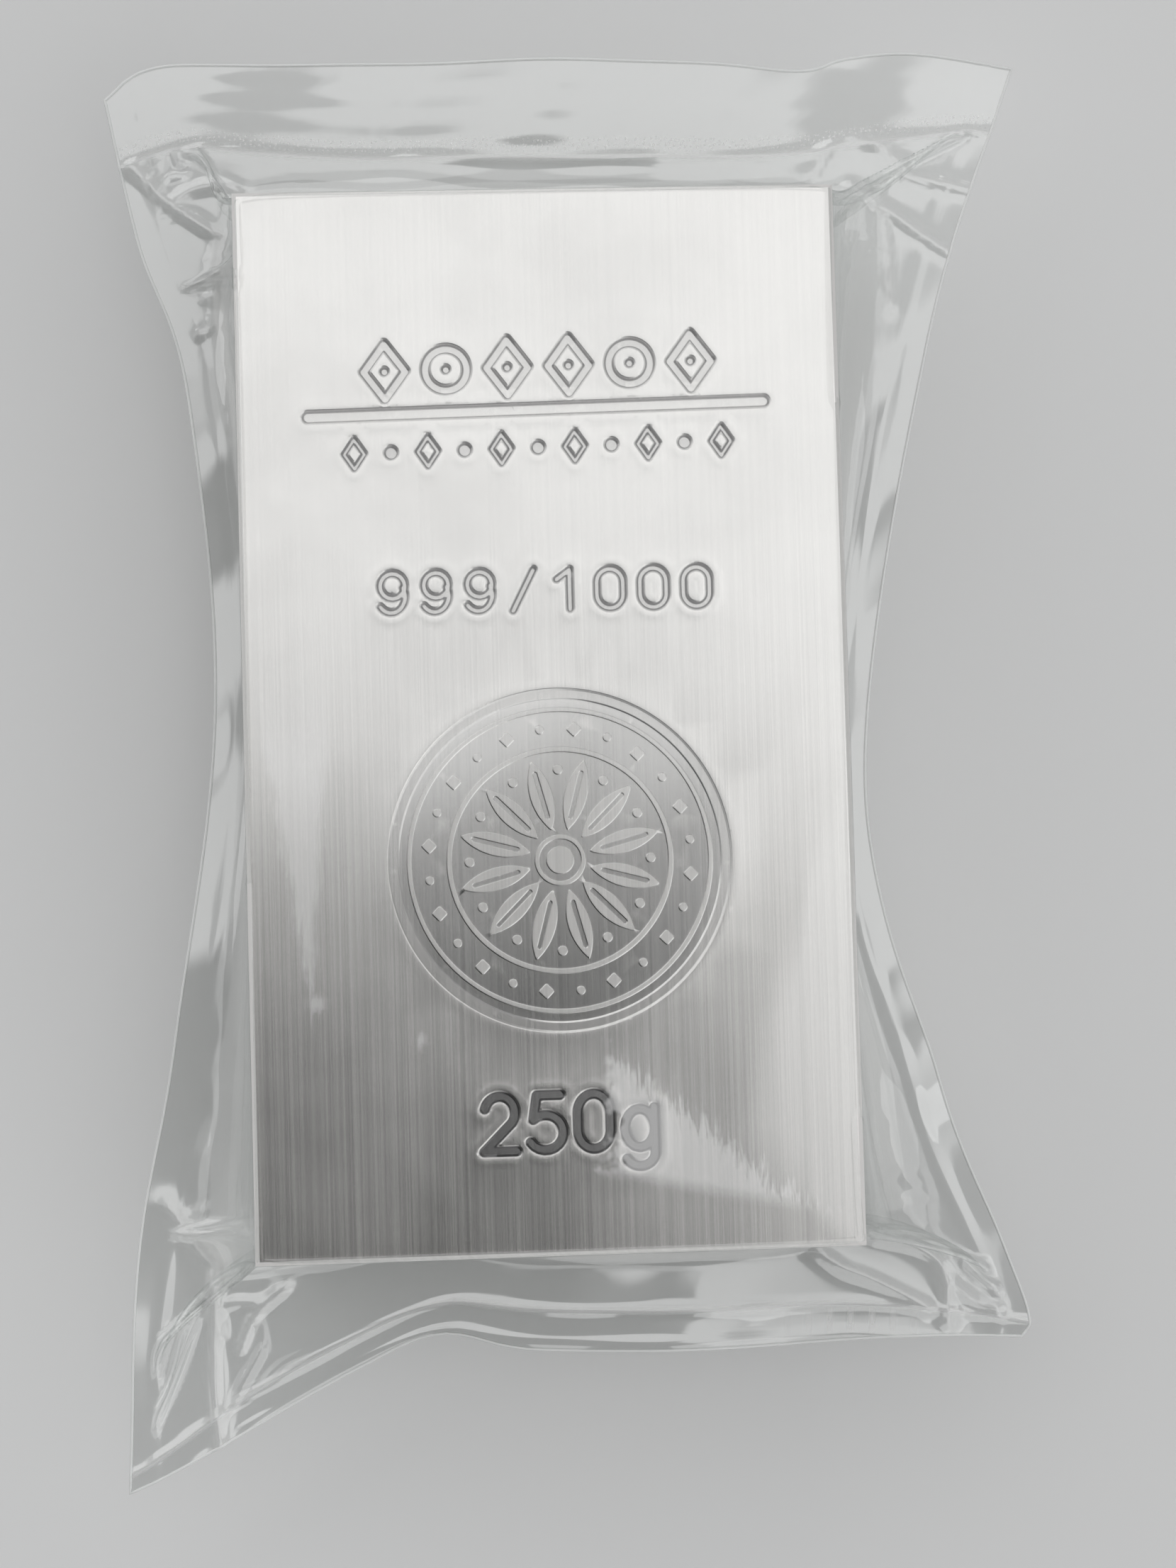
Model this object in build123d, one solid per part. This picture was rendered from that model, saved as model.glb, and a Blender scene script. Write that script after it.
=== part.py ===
from build123d import *
import os

# Aluminium ingot lying flat, stamped face up, sealed in a clear film pouch.
# +X is right and +Y is towards the head of the stamped face; +Z is up, out of that face.
# The origin is under the middle of the ingot, on the pouch's underside. Millimetres.

# Ingot
ingot_width = 51.0
ingot_length = 90.0
ingot_thickness = 20.2
edge_chamfer = 0.4

# Pouch film
film = 0.15
side_play = 0.1

# Rule stamped under the head of the face
rule_length = 39.6
rule_width = 1.1
rule_depth = 0.35
rule_from_head = 18.9
rule_tilt = 1.0

# Round medallion stamped in the lower half: an outer step and a deeper field inside it
medallion_radius = 14.4
medallion_rim = 0.77
medallion_step = 0.12
medallion_depth = 0.22
medallion_x = 0.7
medallion_from_foot = 33.0

# Edge of the pouch, clockwise. Each point is measured from the nearest corner of the ingot:
# (sideways beyond the ingot's side, lengthwise beyond the ingot's end).
ear_head_left = (11.8, 11.1)
head_left_curl = [(8.4, 13.8), (2.3, 14.6), (-12.0, 14.4)]
head_right_dip = [(-12.0, 13.9), (-1.1, 13.3), (3.2, 14.5), (9.1, 14.8)]
ear_head_right = (18.1, 13.1)
head_right_side = [(9.2, -12.7)]
waist_right = (2.8, 38.5)
foot_right_side = [(8.2, -13.2)]
ear_foot_right = (15.8, 8.1)
foot_right_end = (15.3, 10.0)
foot_right_swell = [(3.9, 9.6), (-9.6, 9.9)]
foot_left_dip = [(-23.4, 9.4), (-15.0, 7.9), (-7.5, 10.8)]
ear_foot_left = (12.1, 20.5)
foot_left_side = [(10.9, -0.3), (7.5, -18.0)]
waist_left = (3.4, 47.2)
head_left_side = [(5.2, -14.8), (9.2, -1.7)]

# The film stands close to the ingot's sides down to a knee above the seam, runs out from there to
# the fold line, and lies flat on the other film beyond it. Both lines are measured the same way,
# at the corners clockwise from the head's left, then at the middles of head, right, foot and left.
# From each corner of the ingot a ridge of film, the dog-ear, runs down through both.
knee_height = 2.7
knee_corners = [(1.0, 0.8), (2.2, 0.7), (2.0, 0.6), (2.6, 1.6)]
knee_middles = [0.55, 0.35, 0.5, 0.35]
fold_corners = [(5.8, 4.6), (6.8, 4.4), (6.2, 3.6), (7.2, 6.2)]
fold_middles = [4.2, 1.0, 2.6, 1.0]
waist_from_middle = 3.0

half_width = ingot_width / 2
half_length = ingot_length / 2
ingot_top = film + ingot_thickness
seam_height = film + ingot_thickness / 2


def corner(side, end, reach):
    """A plan point measured from one corner of the ingot; side and end are -1 or 1."""
    return Vector(side * (half_width + reach[0]), end * (half_length + reach[1]))


def corners(side, end, reaches):
    """The same for a list of points."""
    return [corner(side, end, reach) for reach in reaches]


def make_ingot():
    """The sawn block, chamfered all round, with the stamped rule and medallion."""
    block = Pos(0, 0, film) * Box(
        ingot_width, ingot_length, ingot_thickness, align=(Align.CENTER, Align.CENTER, Align.MIN)
    )
    block = chamfer(block.edges(), edge_chamfer)

    rule_plane = Plane((0, half_length - rule_from_head, ingot_top), z_dir=(0, 0, 1))
    rule = rule_plane * Rot(0, 0, rule_tilt) * SlotOverall(rule_length, rule_width)
    block -= extrude(rule, -rule_depth)

    medallion_place = Pos(medallion_x, medallion_from_foot - half_length, ingot_top)
    step = medallion_place * Circle(medallion_radius)
    field = medallion_place * Circle(medallion_radius - medallion_rim)
    block -= extrude(step, -medallion_step)
    block -= extrude(field, -medallion_depth)
    return block


def rim_outline():
    """The pouch's outer edge in plan: ears at the corners, drawn in at the waist."""
    head_left = corner(-1, 1, ear_head_left)
    head_right = corner(1, 1, ear_head_right)
    foot_right = corner(1, -1, ear_foot_right)
    end_right = corner(1, -1, foot_right_end)
    foot_left = corner(-1, -1, ear_foot_left)
    head = corners(-1, 1, head_left_curl) + corners(1, 1, head_right_dip)
    right = (
        corners(1, 1, head_right_side)
        + [(half_width + waist_right[0], waist_right[1] - half_length)]
        + corners(1, -1, foot_right_side)
    )
    foot = corners(1, -1, foot_right_swell) + corners(-1, -1, foot_left_dip)
    left = (
        corners(-1, -1, foot_left_side)
        + [(-half_width - waist_left[0], waist_left[1] - half_length)]
        + corners(-1, 1, head_left_side)
    )
    return Wire([
        Spline(head_left, *head, head_right),
        Spline(head_right, *right, foot_right),
        Line(foot_right, end_right),
        Spline(end_right, *foot, foot_left),
        Spline(foot_left, *left, head_left),
    ])


def side_outline(corner_reaches, middle_reaches, inset):
    """A line round the ingot's sides, through its four corners and the middle of each side."""
    turns = []
    for (side, end), reach in zip([(-1, 1), (1, 1), (1, -1), (-1, -1)], corner_reaches):
        turns.append(corner(side, end, (reach[0] - inset, reach[1] - inset)))
    head, right, foot, left = [reach - inset for reach in middle_reaches]
    middles = [
        (0, half_length + head),
        (half_width + right, waist_from_middle),
        (0, -half_length - foot),
        (-half_width - left, waist_from_middle),
    ]
    return Wire([Spline(*points) for points in zip(turns, middles, turns[1:] + turns[:1])])


def cap_outline(inset):
    """The film's outline over the ingot's face."""
    reach = side_play + film - inset
    return Rectangle(ingot_width + 2 * reach, ingot_length + 2 * reach).wire()


def wrap(inset):
    """The tent over the upper half of the ingot, drawn in and lowered by the inset."""
    fold = Pos(0, 0, -inset) * side_outline(fold_corners, fold_middles, inset)
    knee = Pos(0, 0, knee_height - inset) * side_outline(knee_corners, knee_middles, inset)
    cap = Pos(0, 0, ingot_thickness / 2 + film - inset) * cap_outline(inset)
    return Solid.make_loft([fold, knee, cap], ruled=True)


def make_front_film():
    """Film over the stamped face: cap, tented sides with a dog-ear at each corner, and rim."""
    rim = extrude(make_face(rim_outline().edges()), film)
    return Pos(0, 0, seam_height) * (Part() + wrap(0) + rim - wrap(film))


def make_back_film():
    """The same film under the ingot: the front film mirrored in the plane of the seam."""
    seam_plane = Plane((0, 0, seam_height), z_dir=(0, 0, 1))
    return mirror(make_front_film(), about=seam_plane)


pieces = {
    "ingot": make_ingot(),
    "front_film": make_front_film(),
    "back_film": make_back_film(),
}

os.makedirs("parts", exist_ok=True)
for name, piece in pieces.items():
    export_step(piece, f"parts/{name}.step")
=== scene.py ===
import math

import bpy
import numpy as np
from mathutils import Matrix, Vector
from mathutils.geometry import delaunay_2d_cdt


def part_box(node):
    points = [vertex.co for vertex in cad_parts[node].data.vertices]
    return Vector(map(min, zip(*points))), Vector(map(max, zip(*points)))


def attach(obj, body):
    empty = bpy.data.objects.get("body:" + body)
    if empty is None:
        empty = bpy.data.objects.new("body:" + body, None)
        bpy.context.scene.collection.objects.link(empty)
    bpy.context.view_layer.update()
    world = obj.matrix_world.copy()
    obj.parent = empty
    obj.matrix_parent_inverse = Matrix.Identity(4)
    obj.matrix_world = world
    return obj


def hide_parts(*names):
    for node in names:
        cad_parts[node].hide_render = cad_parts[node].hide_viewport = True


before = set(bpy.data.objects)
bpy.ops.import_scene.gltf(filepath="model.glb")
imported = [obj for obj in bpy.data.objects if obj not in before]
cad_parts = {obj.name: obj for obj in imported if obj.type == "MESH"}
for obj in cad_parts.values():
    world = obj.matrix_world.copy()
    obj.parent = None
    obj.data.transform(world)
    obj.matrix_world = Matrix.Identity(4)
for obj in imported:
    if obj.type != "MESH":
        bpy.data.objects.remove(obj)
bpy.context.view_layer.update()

# Lengths in this script are millimetres in the part's frame, and meshes are written in metres.
MM = 0.001

ingot_low, ingot_high = (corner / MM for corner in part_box("ingot"))
HALF_WIDTH = ingot_high.x
HALF_LENGTH = ingot_high.y
FACE_Z = ingot_high.z
BACK_Z = ingot_low.z
SEAM_Z = (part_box("front_film")[0] / MM).z
EDGE_CHAMFER = 0.4

# Corners of a rectangle, anticlockwise
CORNERS = ((-1, -1), (1, -1), (1, 1), (-1, 1))

# Edges of the ingot's mesh that turn by more than this many degrees stay sharp
SHARP_ANGLE = 11


# Node helpers

class Nodes:
    """A node tree, written one node per call."""

    def __init__(self, tree, output):
        self.tree = tree
        self.tree.nodes.clear()
        self.output = self.add(output)

    def add(self, kind, inputs=None, **settings):
        node = self.tree.nodes.new(kind)
        for name, value in settings.items():
            setattr(node, name, value)
        for name, value in (inputs or {}).items():
            self.put(node.inputs[name], value)
        return node

    def put(self, socket, value):
        if isinstance(value, bpy.types.NodeSocket):
            self.tree.links.new(value, socket)
        else:
            socket.default_value = value

    def surface(self, shader):
        self.put(self.output.inputs["Surface"], shader.outputs[0])

    def math(self, operation, a, b=0.5, c=0.0, clamp=False):
        node = self.add("ShaderNodeMath", operation=operation, use_clamp=clamp)
        for socket, value in zip(node.inputs, (a, b, c)):
            self.put(socket, value)
        return node.outputs[0]

    def times(self, a, b, plus=None):
        return self.math("MULTIPLY", a, b) if plus is None else self.math("MULTIPLY_ADD", a, b, plus)

    def most(self, a, b):
        return self.math("MAXIMUM", a, b)

    def remap(self, value, low, high, to_low=0.0, to_high=1.0):
        """A smooth step from to_low, where value is low, to to_high, where it is high."""
        node = self.add(
            "ShaderNodeMapRange",
            {"Value": value, "From Min": low, "From Max": high, "To Min": to_low, "To Max": to_high},
            interpolation_type="SMOOTHSTEP",
        )
        return node.outputs[0]

    def mix_colour(self, factor, a, b):
        node = self.add("ShaderNodeMix", data_type="RGBA")
        for socket, value in zip((node.inputs[0], node.inputs[6], node.inputs[7]), (factor, a, b)):
            self.put(socket, value)
        return node.outputs[2]

    def mix_shader(self, factor, a, b):
        return self.add("ShaderNodeMixShader", {0: factor, 1: a.outputs[0], 2: b.outputs[0]})

    def mapped(self, coordinate, scale):
        return self.add("ShaderNodeMapping", {"Vector": coordinate, "Scale": scale}).outputs[0]

    def xyz(self, vector):
        node = self.add("ShaderNodeSeparateXYZ", {"Vector": vector})
        return [node.outputs[name] for name in "XYZ"]

    def noise(self, coordinate, scale, detail=3.0, roughness=0.5, dimensions="3D"):
        node = self.add(
            "ShaderNodeTexNoise",
            {"Vector": coordinate, "Scale": scale, "Detail": detail, "Roughness": roughness},
            noise_dimensions=dimensions,
        )
        return node.outputs["Fac"]

    def line(self, x, y, ax, ay, bx, by):
        """How far (x, y) is to the left of the line from a to b."""
        length = math.hypot(bx - ax, by - ay)
        nx, ny = (ay - by) / length, (bx - ax) / length
        return self.times(x, nx, self.times(y, ny, -ax * nx - ay * ny))

    def band(self, value, middle, half):
        """1 where value is at the middle, falling to 0 at half the band's width."""
        off = self.math("ABSOLUTE", self.math("SUBTRACT", value, middle))
        return self.remap(off, 0.0, half, 1.0, 0.0)


def link(name, data):
    thing = bpy.data.objects.new(name, data)
    bpy.context.scene.collection.objects.link(thing)
    return thing


def new_material(name):
    material = bpy.data.materials.new(name)
    material.use_nodes = True
    return material, Nodes(material.node_tree, "ShaderNodeOutputMaterial")


# Stamped shapes: each is a function of x and y that gives the distance to its outline, negative inside

def disc(cx, cy, radius):
    return lambda x, y: np.hypot(x - cx, y - cy) - radius


def nearest_segment(segments, x, y):
    """How far each point is from the nearest segment, and how many segments a ray to its right crosses."""
    near = np.empty(x.size)
    crossings = np.empty(x.size, int)
    flat_x, flat_y = x.ravel(), y.ravel()
    ax, ay, bx, by = segments.T
    dx, dy = bx - ax, by - ay
    length2 = dx * dx + dy * dy + 1e-12
    slope = dx / np.where(np.abs(dy) < 1e-12, 1e-12, dy)
    batch = 4096
    for start in range(0, x.size, batch):
        part = slice(start, start + batch)
        px, py = flat_x[part, None], flat_y[part, None]
        t = np.clip(((px - ax) * dx + (py - ay) * dy) / length2, 0, 1)
        near[part] = np.sqrt(((px - ax - t * dx) ** 2 + (py - ay - t * dy) ** 2).min(1))
        crossed = ((ay > py) != (by > py)) & (px < ax + (py - ay) * slope)
        crossings[part] = crossed.sum(1)
    return near.reshape(x.shape), crossings.reshape(x.shape)


def polygon(points):
    points = np.asarray(points, float)
    segments = np.hstack([points, np.roll(points, -1, axis=0)])

    def distance(x, y):
        near, crossings = nearest_segment(segments, x, y)
        return np.where(crossings % 2 == 1, -near, near)

    return distance


def lozenge(cx, cy, half_width, half_height):
    left, right = (cx - half_width, cy), (cx + half_width, cy)
    top, foot = (cx, cy + half_height), (cx, cy - half_height)
    return polygon([left, top, right, foot])


def slot(x0, y0, x1, y1, width):
    """A straight bar with round ends."""
    dx, dy = x1 - x0, y1 - y0

    def distance(x, y):
        t = np.clip(((x - x0) * dx + (y - y0) * dy) / (dx * dx + dy * dy), 0, 1)
        return np.hypot(x - x0 - t * dx, y - y0 - t * dy) - width / 2

    return distance


def band(shape, width):
    """A line of that width along a shape's outline."""
    return lambda x, y: np.abs(shape(x, y)) - width / 2


def outside(shape):
    return lambda x, y: -shape(x, y)


def rounded(shape, radius):
    """The shape grown by that radius, with its corners round."""
    return lambda x, y: shape(x, y) - radius


def joined(shapes):
    return lambda x, y: np.minimum.reduce([shape(x, y) for shape in shapes])


def common(shapes):
    return lambda x, y: np.maximum.reduce([shape(x, y) for shape in shapes])


def arc(cx, cy, rx, ry, start, end, steps=16):
    """Points along a part of an ellipse; angles in degrees, anticlockwise from the right."""
    turn = np.radians(np.linspace(start, end, steps + 1))
    return [(cx + rx * math.cos(a), cy + ry * math.sin(a)) for a in turn]


# Centre lines of plain figures, in a cell one wide and one high
GLYPHS = {
    "0": [arc(0.5, 0.66, 0.5, 0.34, 180, 0) + arc(0.5, 0.34, 0.5, 0.34, 0, -180) + [(0, 0.66)]],
    "1": [[(0.12, 0.76), (0.62, 1), (0.62, 0)]],
    "2": [arc(0.5, 0.7, 0.47, 0.3, 165, -38) + [(0, 0), (1, 0)]],
    "5": [[(0.92, 1), (0.2, 1)] + arc(0.45, 0.32, 0.55, 0.32, 132, -148)],
    "9": [arc(0.5, 0.68, 0.47, 0.32, 0, 360), arc(0.44, 0.42, 0.53, 0.42, 30, -140)],
    "g": [arc(0.46, 0.35, 0.46, 0.35, 0, 360), [(0.92, 0.72)] + arc(0.46, -0.1, 0.46, 0.24, 0, -155)],
    "/": [[(0.1, -0.02), (0.9, 1.02)]],
}


def figures(text, left, base, cell, pitch, stroke):
    """Plain figures drawn as strokes of one width; cell is the width and height of one figure."""
    rows = []
    for k, character in enumerate(text):
        for line in GLYPHS[character]:
            points = np.array(line) * (cell[0] - stroke, cell[1] - stroke) + stroke / 2
            points += (left + k * pitch, base)
            rows.append(np.hstack([points[:-1], points[1:]]))
    segments = np.vstack(rows)
    return lambda x, y: nearest_segment(segments, x, y)[0] - stroke / 2


# Stamps on the face. Each row lies where a row of stamps lies on the real ingot.
# A profile is a list of (distance from the outline, height over the face), from inside to outside.

DEEP = [(-0.19, -0.38), (-0.1, -0.22), (-0.01, -0.02), (0.1, 0.012), (0.3, 0.025), (0.65, 0.01), (1.15, 0.0)]
RULE = [(-0.22, -0.3), (-0.11, -0.17), (-0.01, -0.02), (0.1, 0.012), (0.3, 0.025), (0.7, 0.01), (1.2, 0.0)]
STEP = [(-0.13, -0.12), (-0.07, -0.07), (0.0, -0.01), (0.08, 0.01), (0.3, 0.015), (0.7, 0.0)]
FIELD = [(-0.14, -0.1), (-0.07, -0.06), (0.0, 0.0)]
RAISED = [(-0.1, 0.03), (0.0, 0.0)]

# Finish inside a stamp, as the Finish attribute holds it
POLISHED, BRUSHED, FROSTED = -1, 0, 1

# The medallion: its middle, its radius and the width of its outer step
MEDAL_X = 0.7
MEDAL_Y = -12.0
MEDAL_RADIUS = 14.4
MEDAL_RIM = 0.77

# How much the rows of stamps rise towards the right
ROW_SLANT = 0.017


def frieze():
    """Four lozenges and two roundels in a row, the same from both ends."""
    first, pitch, height = -13.0, 5.18, 29.75
    half_width, half_height, line, pip = 1.75, 2.35, 0.85, 0.42
    shapes = []
    for k, kind in enumerate("LRLLRL"):
        x = first + pitch * k
        y = height + ROW_SLANT * x
        motif = lozenge(x, y, half_width, half_height) if kind == "L" else disc(x, y, half_width)
        shapes.append(band(motif, line))
        shapes.append(disc(x, y, pip))
    return joined(shapes)


def beads():
    """Small lozenges and discs in turn, under the rule."""
    count, first, pitch, height = 11, -15.7, 3.1, 22.85
    half_width, half_height, line, radius = 0.85, 1.25, 0.55, 0.62
    shapes = []
    for k in range(count):
        x = first + pitch * k
        y = height + ROW_SLANT * x
        if k % 2 == 0:
            shapes.append(band(lozenge(x, y, half_width, half_height), line))
        else:
            shapes.append(disc(x, y, radius))
    return joined(shapes)


def rosette():
    """Twelve veined petals and dots round a boss, three rings, and a border of lozenges and discs in turn."""
    boss, ring_lines = 1.2, ((1.95, 0.45), (9.3, 0.5), (12.65, 0.45))
    petals, inner, outer, bulge = 12, 2.5, 8.7, 4.4
    vein_half, vein_width = 1.9, 0.3
    dot_ring, dot = 7.6, 0.45
    border, border_ring, border_disc = 24, 11.05, 0.4
    border_lozenge, border_round = 0.5, 0.16
    shapes = [disc(MEDAL_X, MEDAL_Y, boss)]
    for radius, width in ring_lines:
        shapes.append(band(disc(MEDAL_X, MEDAL_Y, radius), width))
    middle = (inner + outer) / 2
    radius = math.hypot((outer - inner) / 2, bulge)
    for k in range(petals):
        a = 2 * math.pi * (k + 0.5) / petals
        dx, dy = math.sin(a), math.cos(a)
        ox, oy = MEDAL_X + middle * dx, MEDAL_Y + middle * dy
        petal = common([
            disc(ox + dy * bulge, oy - dx * bulge, radius),
            disc(ox - dy * bulge, oy + dx * bulge, radius),
        ])
        tip_x, tip_y = vein_half * dx, vein_half * dy
        vein = slot(ox - tip_x, oy - tip_y, ox + tip_x, oy + tip_y, vein_width)
        shapes.append(common([petal, outside(vein)]))
        b = a + math.pi / petals
        shapes.append(disc(MEDAL_X + dot_ring * math.sin(b), MEDAL_Y + dot_ring * math.cos(b), dot))
    for k in range(border):
        a = 2 * math.pi * (k + 0.5) / border
        x, y = MEDAL_X + border_ring * math.sin(a), MEDAL_Y + border_ring * math.cos(a)
        if k % 2 == 0:
            shapes.append(rounded(lozenge(x, y, border_lozenge, border_lozenge), border_round))
        else:
            shapes.append(disc(x, y, border_disc))
    return joined(shapes)


def stamps():
    """Every stamp: shape, profile, the box it fills, the painted shade down its wall and on its floor, and
    its finish.
    """
    medal = disc(MEDAL_X, MEDAL_Y, MEDAL_RADIUS)
    field = disc(MEDAL_X, MEDAL_Y, MEDAL_RADIUS - MEDAL_RIM)
    purity = figures("999/1000", left=-14.2, base=8.8, cell=(2.85, 3.95), pitch=3.66, stroke=0.64)
    weight = figures("250g", left=-6.75, base=-36.6, cell=(3.6, 5.45), pitch=3.93, stroke=0.88)
    return [
        (frieze(), DEEP, (-15.6, 27.0, 15.3, 32.6), 0.9, 0.05, BRUSHED),
        (slot(-19.5, 25.75, 19.0, 26.42, 1.1), RULE, (-20.2, 25.1, 19.7, 27.1), 0.8, 0.0, BRUSHED),
        (beads(), DEEP, (-16.8, 21.2, 16.4, 24.6), 1.0, 0.25, BRUSHED),
        (purity, DEEP, (-14.6, 8.4, 14.7, 13.2), 1.0, 0.05, BRUSHED),
        (weight, DEEP, (-7.2, -38.9, 8.9, -30.7), 1.0, 0.6, BRUSHED),
        (medal, STEP, (-14, -26.7, 15.4, 2.7), 0.3, 0.0, BRUSHED),
        (field, FIELD, (-13.2, -25.9, 14.6, 1.9), 0.3, 0.0, POLISHED),
        (rosette(), RAISED, (-12.4, -25.1, 13.8, 1.1), 0.2, 0.0, FROSTED),
    ]


def ridge(value, middle, half):
    """1 where value is at the middle, fading on both sides."""
    return np.exp(-(((value - middle) / half) ** 2))


# The nearest that a contour's point comes to a corner of its grid, as a share of a grid step
CORNER_SHARE = 0.04


def contour(grid_x, grid_y, value):
    """Marching squares: where value is zero, as points and the pairs that segments join."""
    value = np.where(value == 0, 1e-9, value)
    points, index = [], {}

    def crossing(a, b):
        if (a, b) not in index:
            t = min(max(value[a] / (value[a] - value[b]), CORNER_SHARE), 1 - CORNER_SHARE)
            index[a, b] = len(points)
            points.append((
                grid_x[a[1]] + t * (grid_x[b[1]] - grid_x[a[1]]),
                grid_y[a[0]] + t * (grid_y[b[0]] - grid_y[a[0]]),
            ))
        return index[a, b]

    inside = value < 0
    mixed = inside[:-1, :-1].astype(int) + inside[1:, :-1] + inside[:-1, 1:] + inside[1:, 1:]
    pairs = []
    for j, i in zip(*np.nonzero((mixed > 0) & (mixed < 4))):
        ring = [(j, i), (j, i + 1), (j + 1, i + 1), (j + 1, i)]
        ends = zip(ring, ring[1:] + ring[:1])
        sides = [crossing(min(a, b), max(a, b)) for a, b in ends if inside[a] != inside[b]]
        if len(sides) == 2:
            pairs.append(sides)
        elif inside[j, i]:
            pairs.extend([(sides[0], sides[3]), (sides[1], sides[2])])
        else:
            pairs.extend([(sides[0], sides[1]), (sides[2], sides[3])])
    return points, pairs


# Grid steps for contours: fine for those nearer than this to a stamp's outline, wide for those further off
NEAR_OUTLINE = 0.3
FINE_STEP = 0.15
WIDE_STEP = 0.3
# Step between the points on the plain face
PLAIN_STEP = 4.0
# Shift that keeps the grid's corners off the outlines
GRID_SHIFT_X = 0.0137
GRID_SHIFT_Y = 0.0291
# Half width of the line of painted shade down a stamp's wall
WALL_SHADE_HALF = 0.07


def stamped_face():
    """The face, with edges along every stamp's contours: points, triangles, and the marks of each point,
    which are its painted shade and its finish.
    """
    flat_x = HALF_WIDTH - EDGE_CHAMFER
    flat_y = HALF_LENGTH - EDGE_CHAMFER
    points = [(sx * flat_x, sy * flat_y) for sx, sy in CORNERS]
    pairs = [(0, 1), (1, 2), (2, 3), (3, 0)]
    # The stamp and the level of the contour that each point lies on
    own = [(None, 0.0)] * 4
    all_stamps = stamps()
    for number, (shape, profile, (x0, y0, x1, y1), *_) in enumerate(all_stamps):
        for level, _ in profile:
            step = FINE_STEP if abs(level) < NEAR_OUTLINE else WIDE_STEP
            margin = max(level, 0) + 2 * step
            grid_x = np.arange(x0 - margin + GRID_SHIFT_X, x1 + margin, step)
            grid_y = np.arange(y0 - margin + GRID_SHIFT_Y, y1 + margin, step)
            value = shape(*np.meshgrid(grid_x, grid_y)) - level
            found, joins = contour(grid_x, grid_y, value)
            start = len(points)
            points.extend(found)
            own.extend([(number, level)] * len(found))
            pairs.extend((a + start, b + start) for a, b in joins)
    for y in np.arange(-flat_y + PLAIN_STEP, flat_y - PLAIN_STEP / 2, PLAIN_STEP):
        for x in np.arange(-flat_x + PLAIN_STEP, flat_x - PLAIN_STEP / 2, PLAIN_STEP):
            points.append((x, y))
            own.append((None, 0.0))
    result = delaunay_2d_cdt([Vector(p) for p in points], pairs, [], 0, 1e-5, True)
    place = np.array([v[:] for v in result[0]])
    origin = result[3]
    height = np.zeros(len(place))
    painted_shade = np.zeros(len(place))
    finish = np.zeros(len(place))
    for number, (shape, profile, (x0, y0, x1, y1), wall_painted_shade, floor_painted_shade, inside) in enumerate(all_stamps):
        reach = profile[-1][0] + 0.5
        near = (place > (x0 - reach, y0 - reach)) & (place < (x1 + reach, y1 + reach))
        picked = np.nonzero(near.all(1))[0]
        distance = shape(place[picked, 0], place[picked, 1])
        for k, vertex in enumerate(picked):
            for source in origin[vertex]:
                if own[source][0] == number:
                    distance[k] = own[source][1]
        height[picked] += np.interp(distance, *zip(*profile))
        wall = profile[1][0]
        # Painted shade: the stamp's floor and a line down its wall are darkened where shade falls in the
        # recess
        painted_shade_here = np.where(distance < wall, floor_painted_shade, 0)
        painted_shade_here = np.maximum(painted_shade_here, wall_painted_shade * ridge(distance, wall, WALL_SHADE_HALF))
        painted_shade[picked] = np.maximum(painted_shade[picked], painted_shade_here)
        finish[picked] = np.where(distance < -0.01, inside, finish[picked])
    return np.column_stack([place, FACE_Z + height]), result[2], {"PaintedShade": painted_shade, "Finish": finish}


def brush_uv(mesh):
    """A map whose U runs along the brushing: lengthwise on faces and long sides, across on the ends."""
    layer = mesh.uv_layers.new(name="Brush")
    for face in mesh.polygons:
        across = abs(face.normal.y) > 0.9
        for loop in face.loop_indices:
            x, y, z = mesh.vertices[mesh.loops[loop].vertex_index].co
            layer.data[loop].uv = (x, y + z) if across else (y, x + z)


def link_piece(name, mesh, material):
    piece = link(name, mesh)
    mesh.materials.append(material)
    mesh.shade_smooth()
    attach(piece, "root")
    return piece


def make_ingot(material):
    """The block: its stamped face, and below it rings of corners for the chamfers, the sides and the back."""
    face_points, face_triangles, marks = stamped_face()
    verts = [tuple(p) for p in face_points]
    faces = [tuple(f) for f in face_triangles]
    corners = []
    for sx, sy in CORNERS:
        off_x = face_points[:, 0] - sx * (HALF_WIDTH - EDGE_CHAMFER)
        off_y = face_points[:, 1] - sy * (HALF_LENGTH - EDGE_CHAMFER)
        corners.append(int(np.hypot(off_x, off_y).argmin()))
    rings = [corners]
    for inset, z in ((0, FACE_Z - EDGE_CHAMFER), (0, BACK_Z + EDGE_CHAMFER), (EDGE_CHAMFER, BACK_Z)):
        rings.append([len(verts) + k for k in range(4)])
        verts.extend((sx * (HALF_WIDTH - inset), sy * (HALF_LENGTH - inset), z) for sx, sy in CORNERS)
    for upper, lower in zip(rings, rings[1:]):
        for k in range(4):
            n = (k + 1) % 4
            faces.append((upper[n], upper[k], lower[k], lower[n]))
    faces.append(tuple(reversed(rings[-1])))
    mesh = bpy.data.meshes.new("ingot_stamped")
    mesh.from_pydata([(x * MM, y * MM, z * MM) for x, y, z in verts], [], faces)
    for name, values in marks.items():
        layer = mesh.attributes.new(name, "FLOAT", "POINT")
        layer.data.foreach_set("value", np.r_[values, np.zeros(len(verts) - len(values))])
    mesh.validate()
    brush_uv(mesh)
    piece = link_piece("ingot_stamped", mesh, material)
    mesh.set_sharp_from_angle(angle=math.radians(SHARP_ANGLE))
    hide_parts("ingot")


# Streaks to a metre, along the brushing and across it
FINE_STREAKS = (13, 6200, 1)
BROAD_STREAKS = (7, 1900, 1)
DARK_STREAK = (0.864, 0.849, 0.837, 1)
LIGHT_STREAK = (0.98, 0.962, 0.948, 1)
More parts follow.
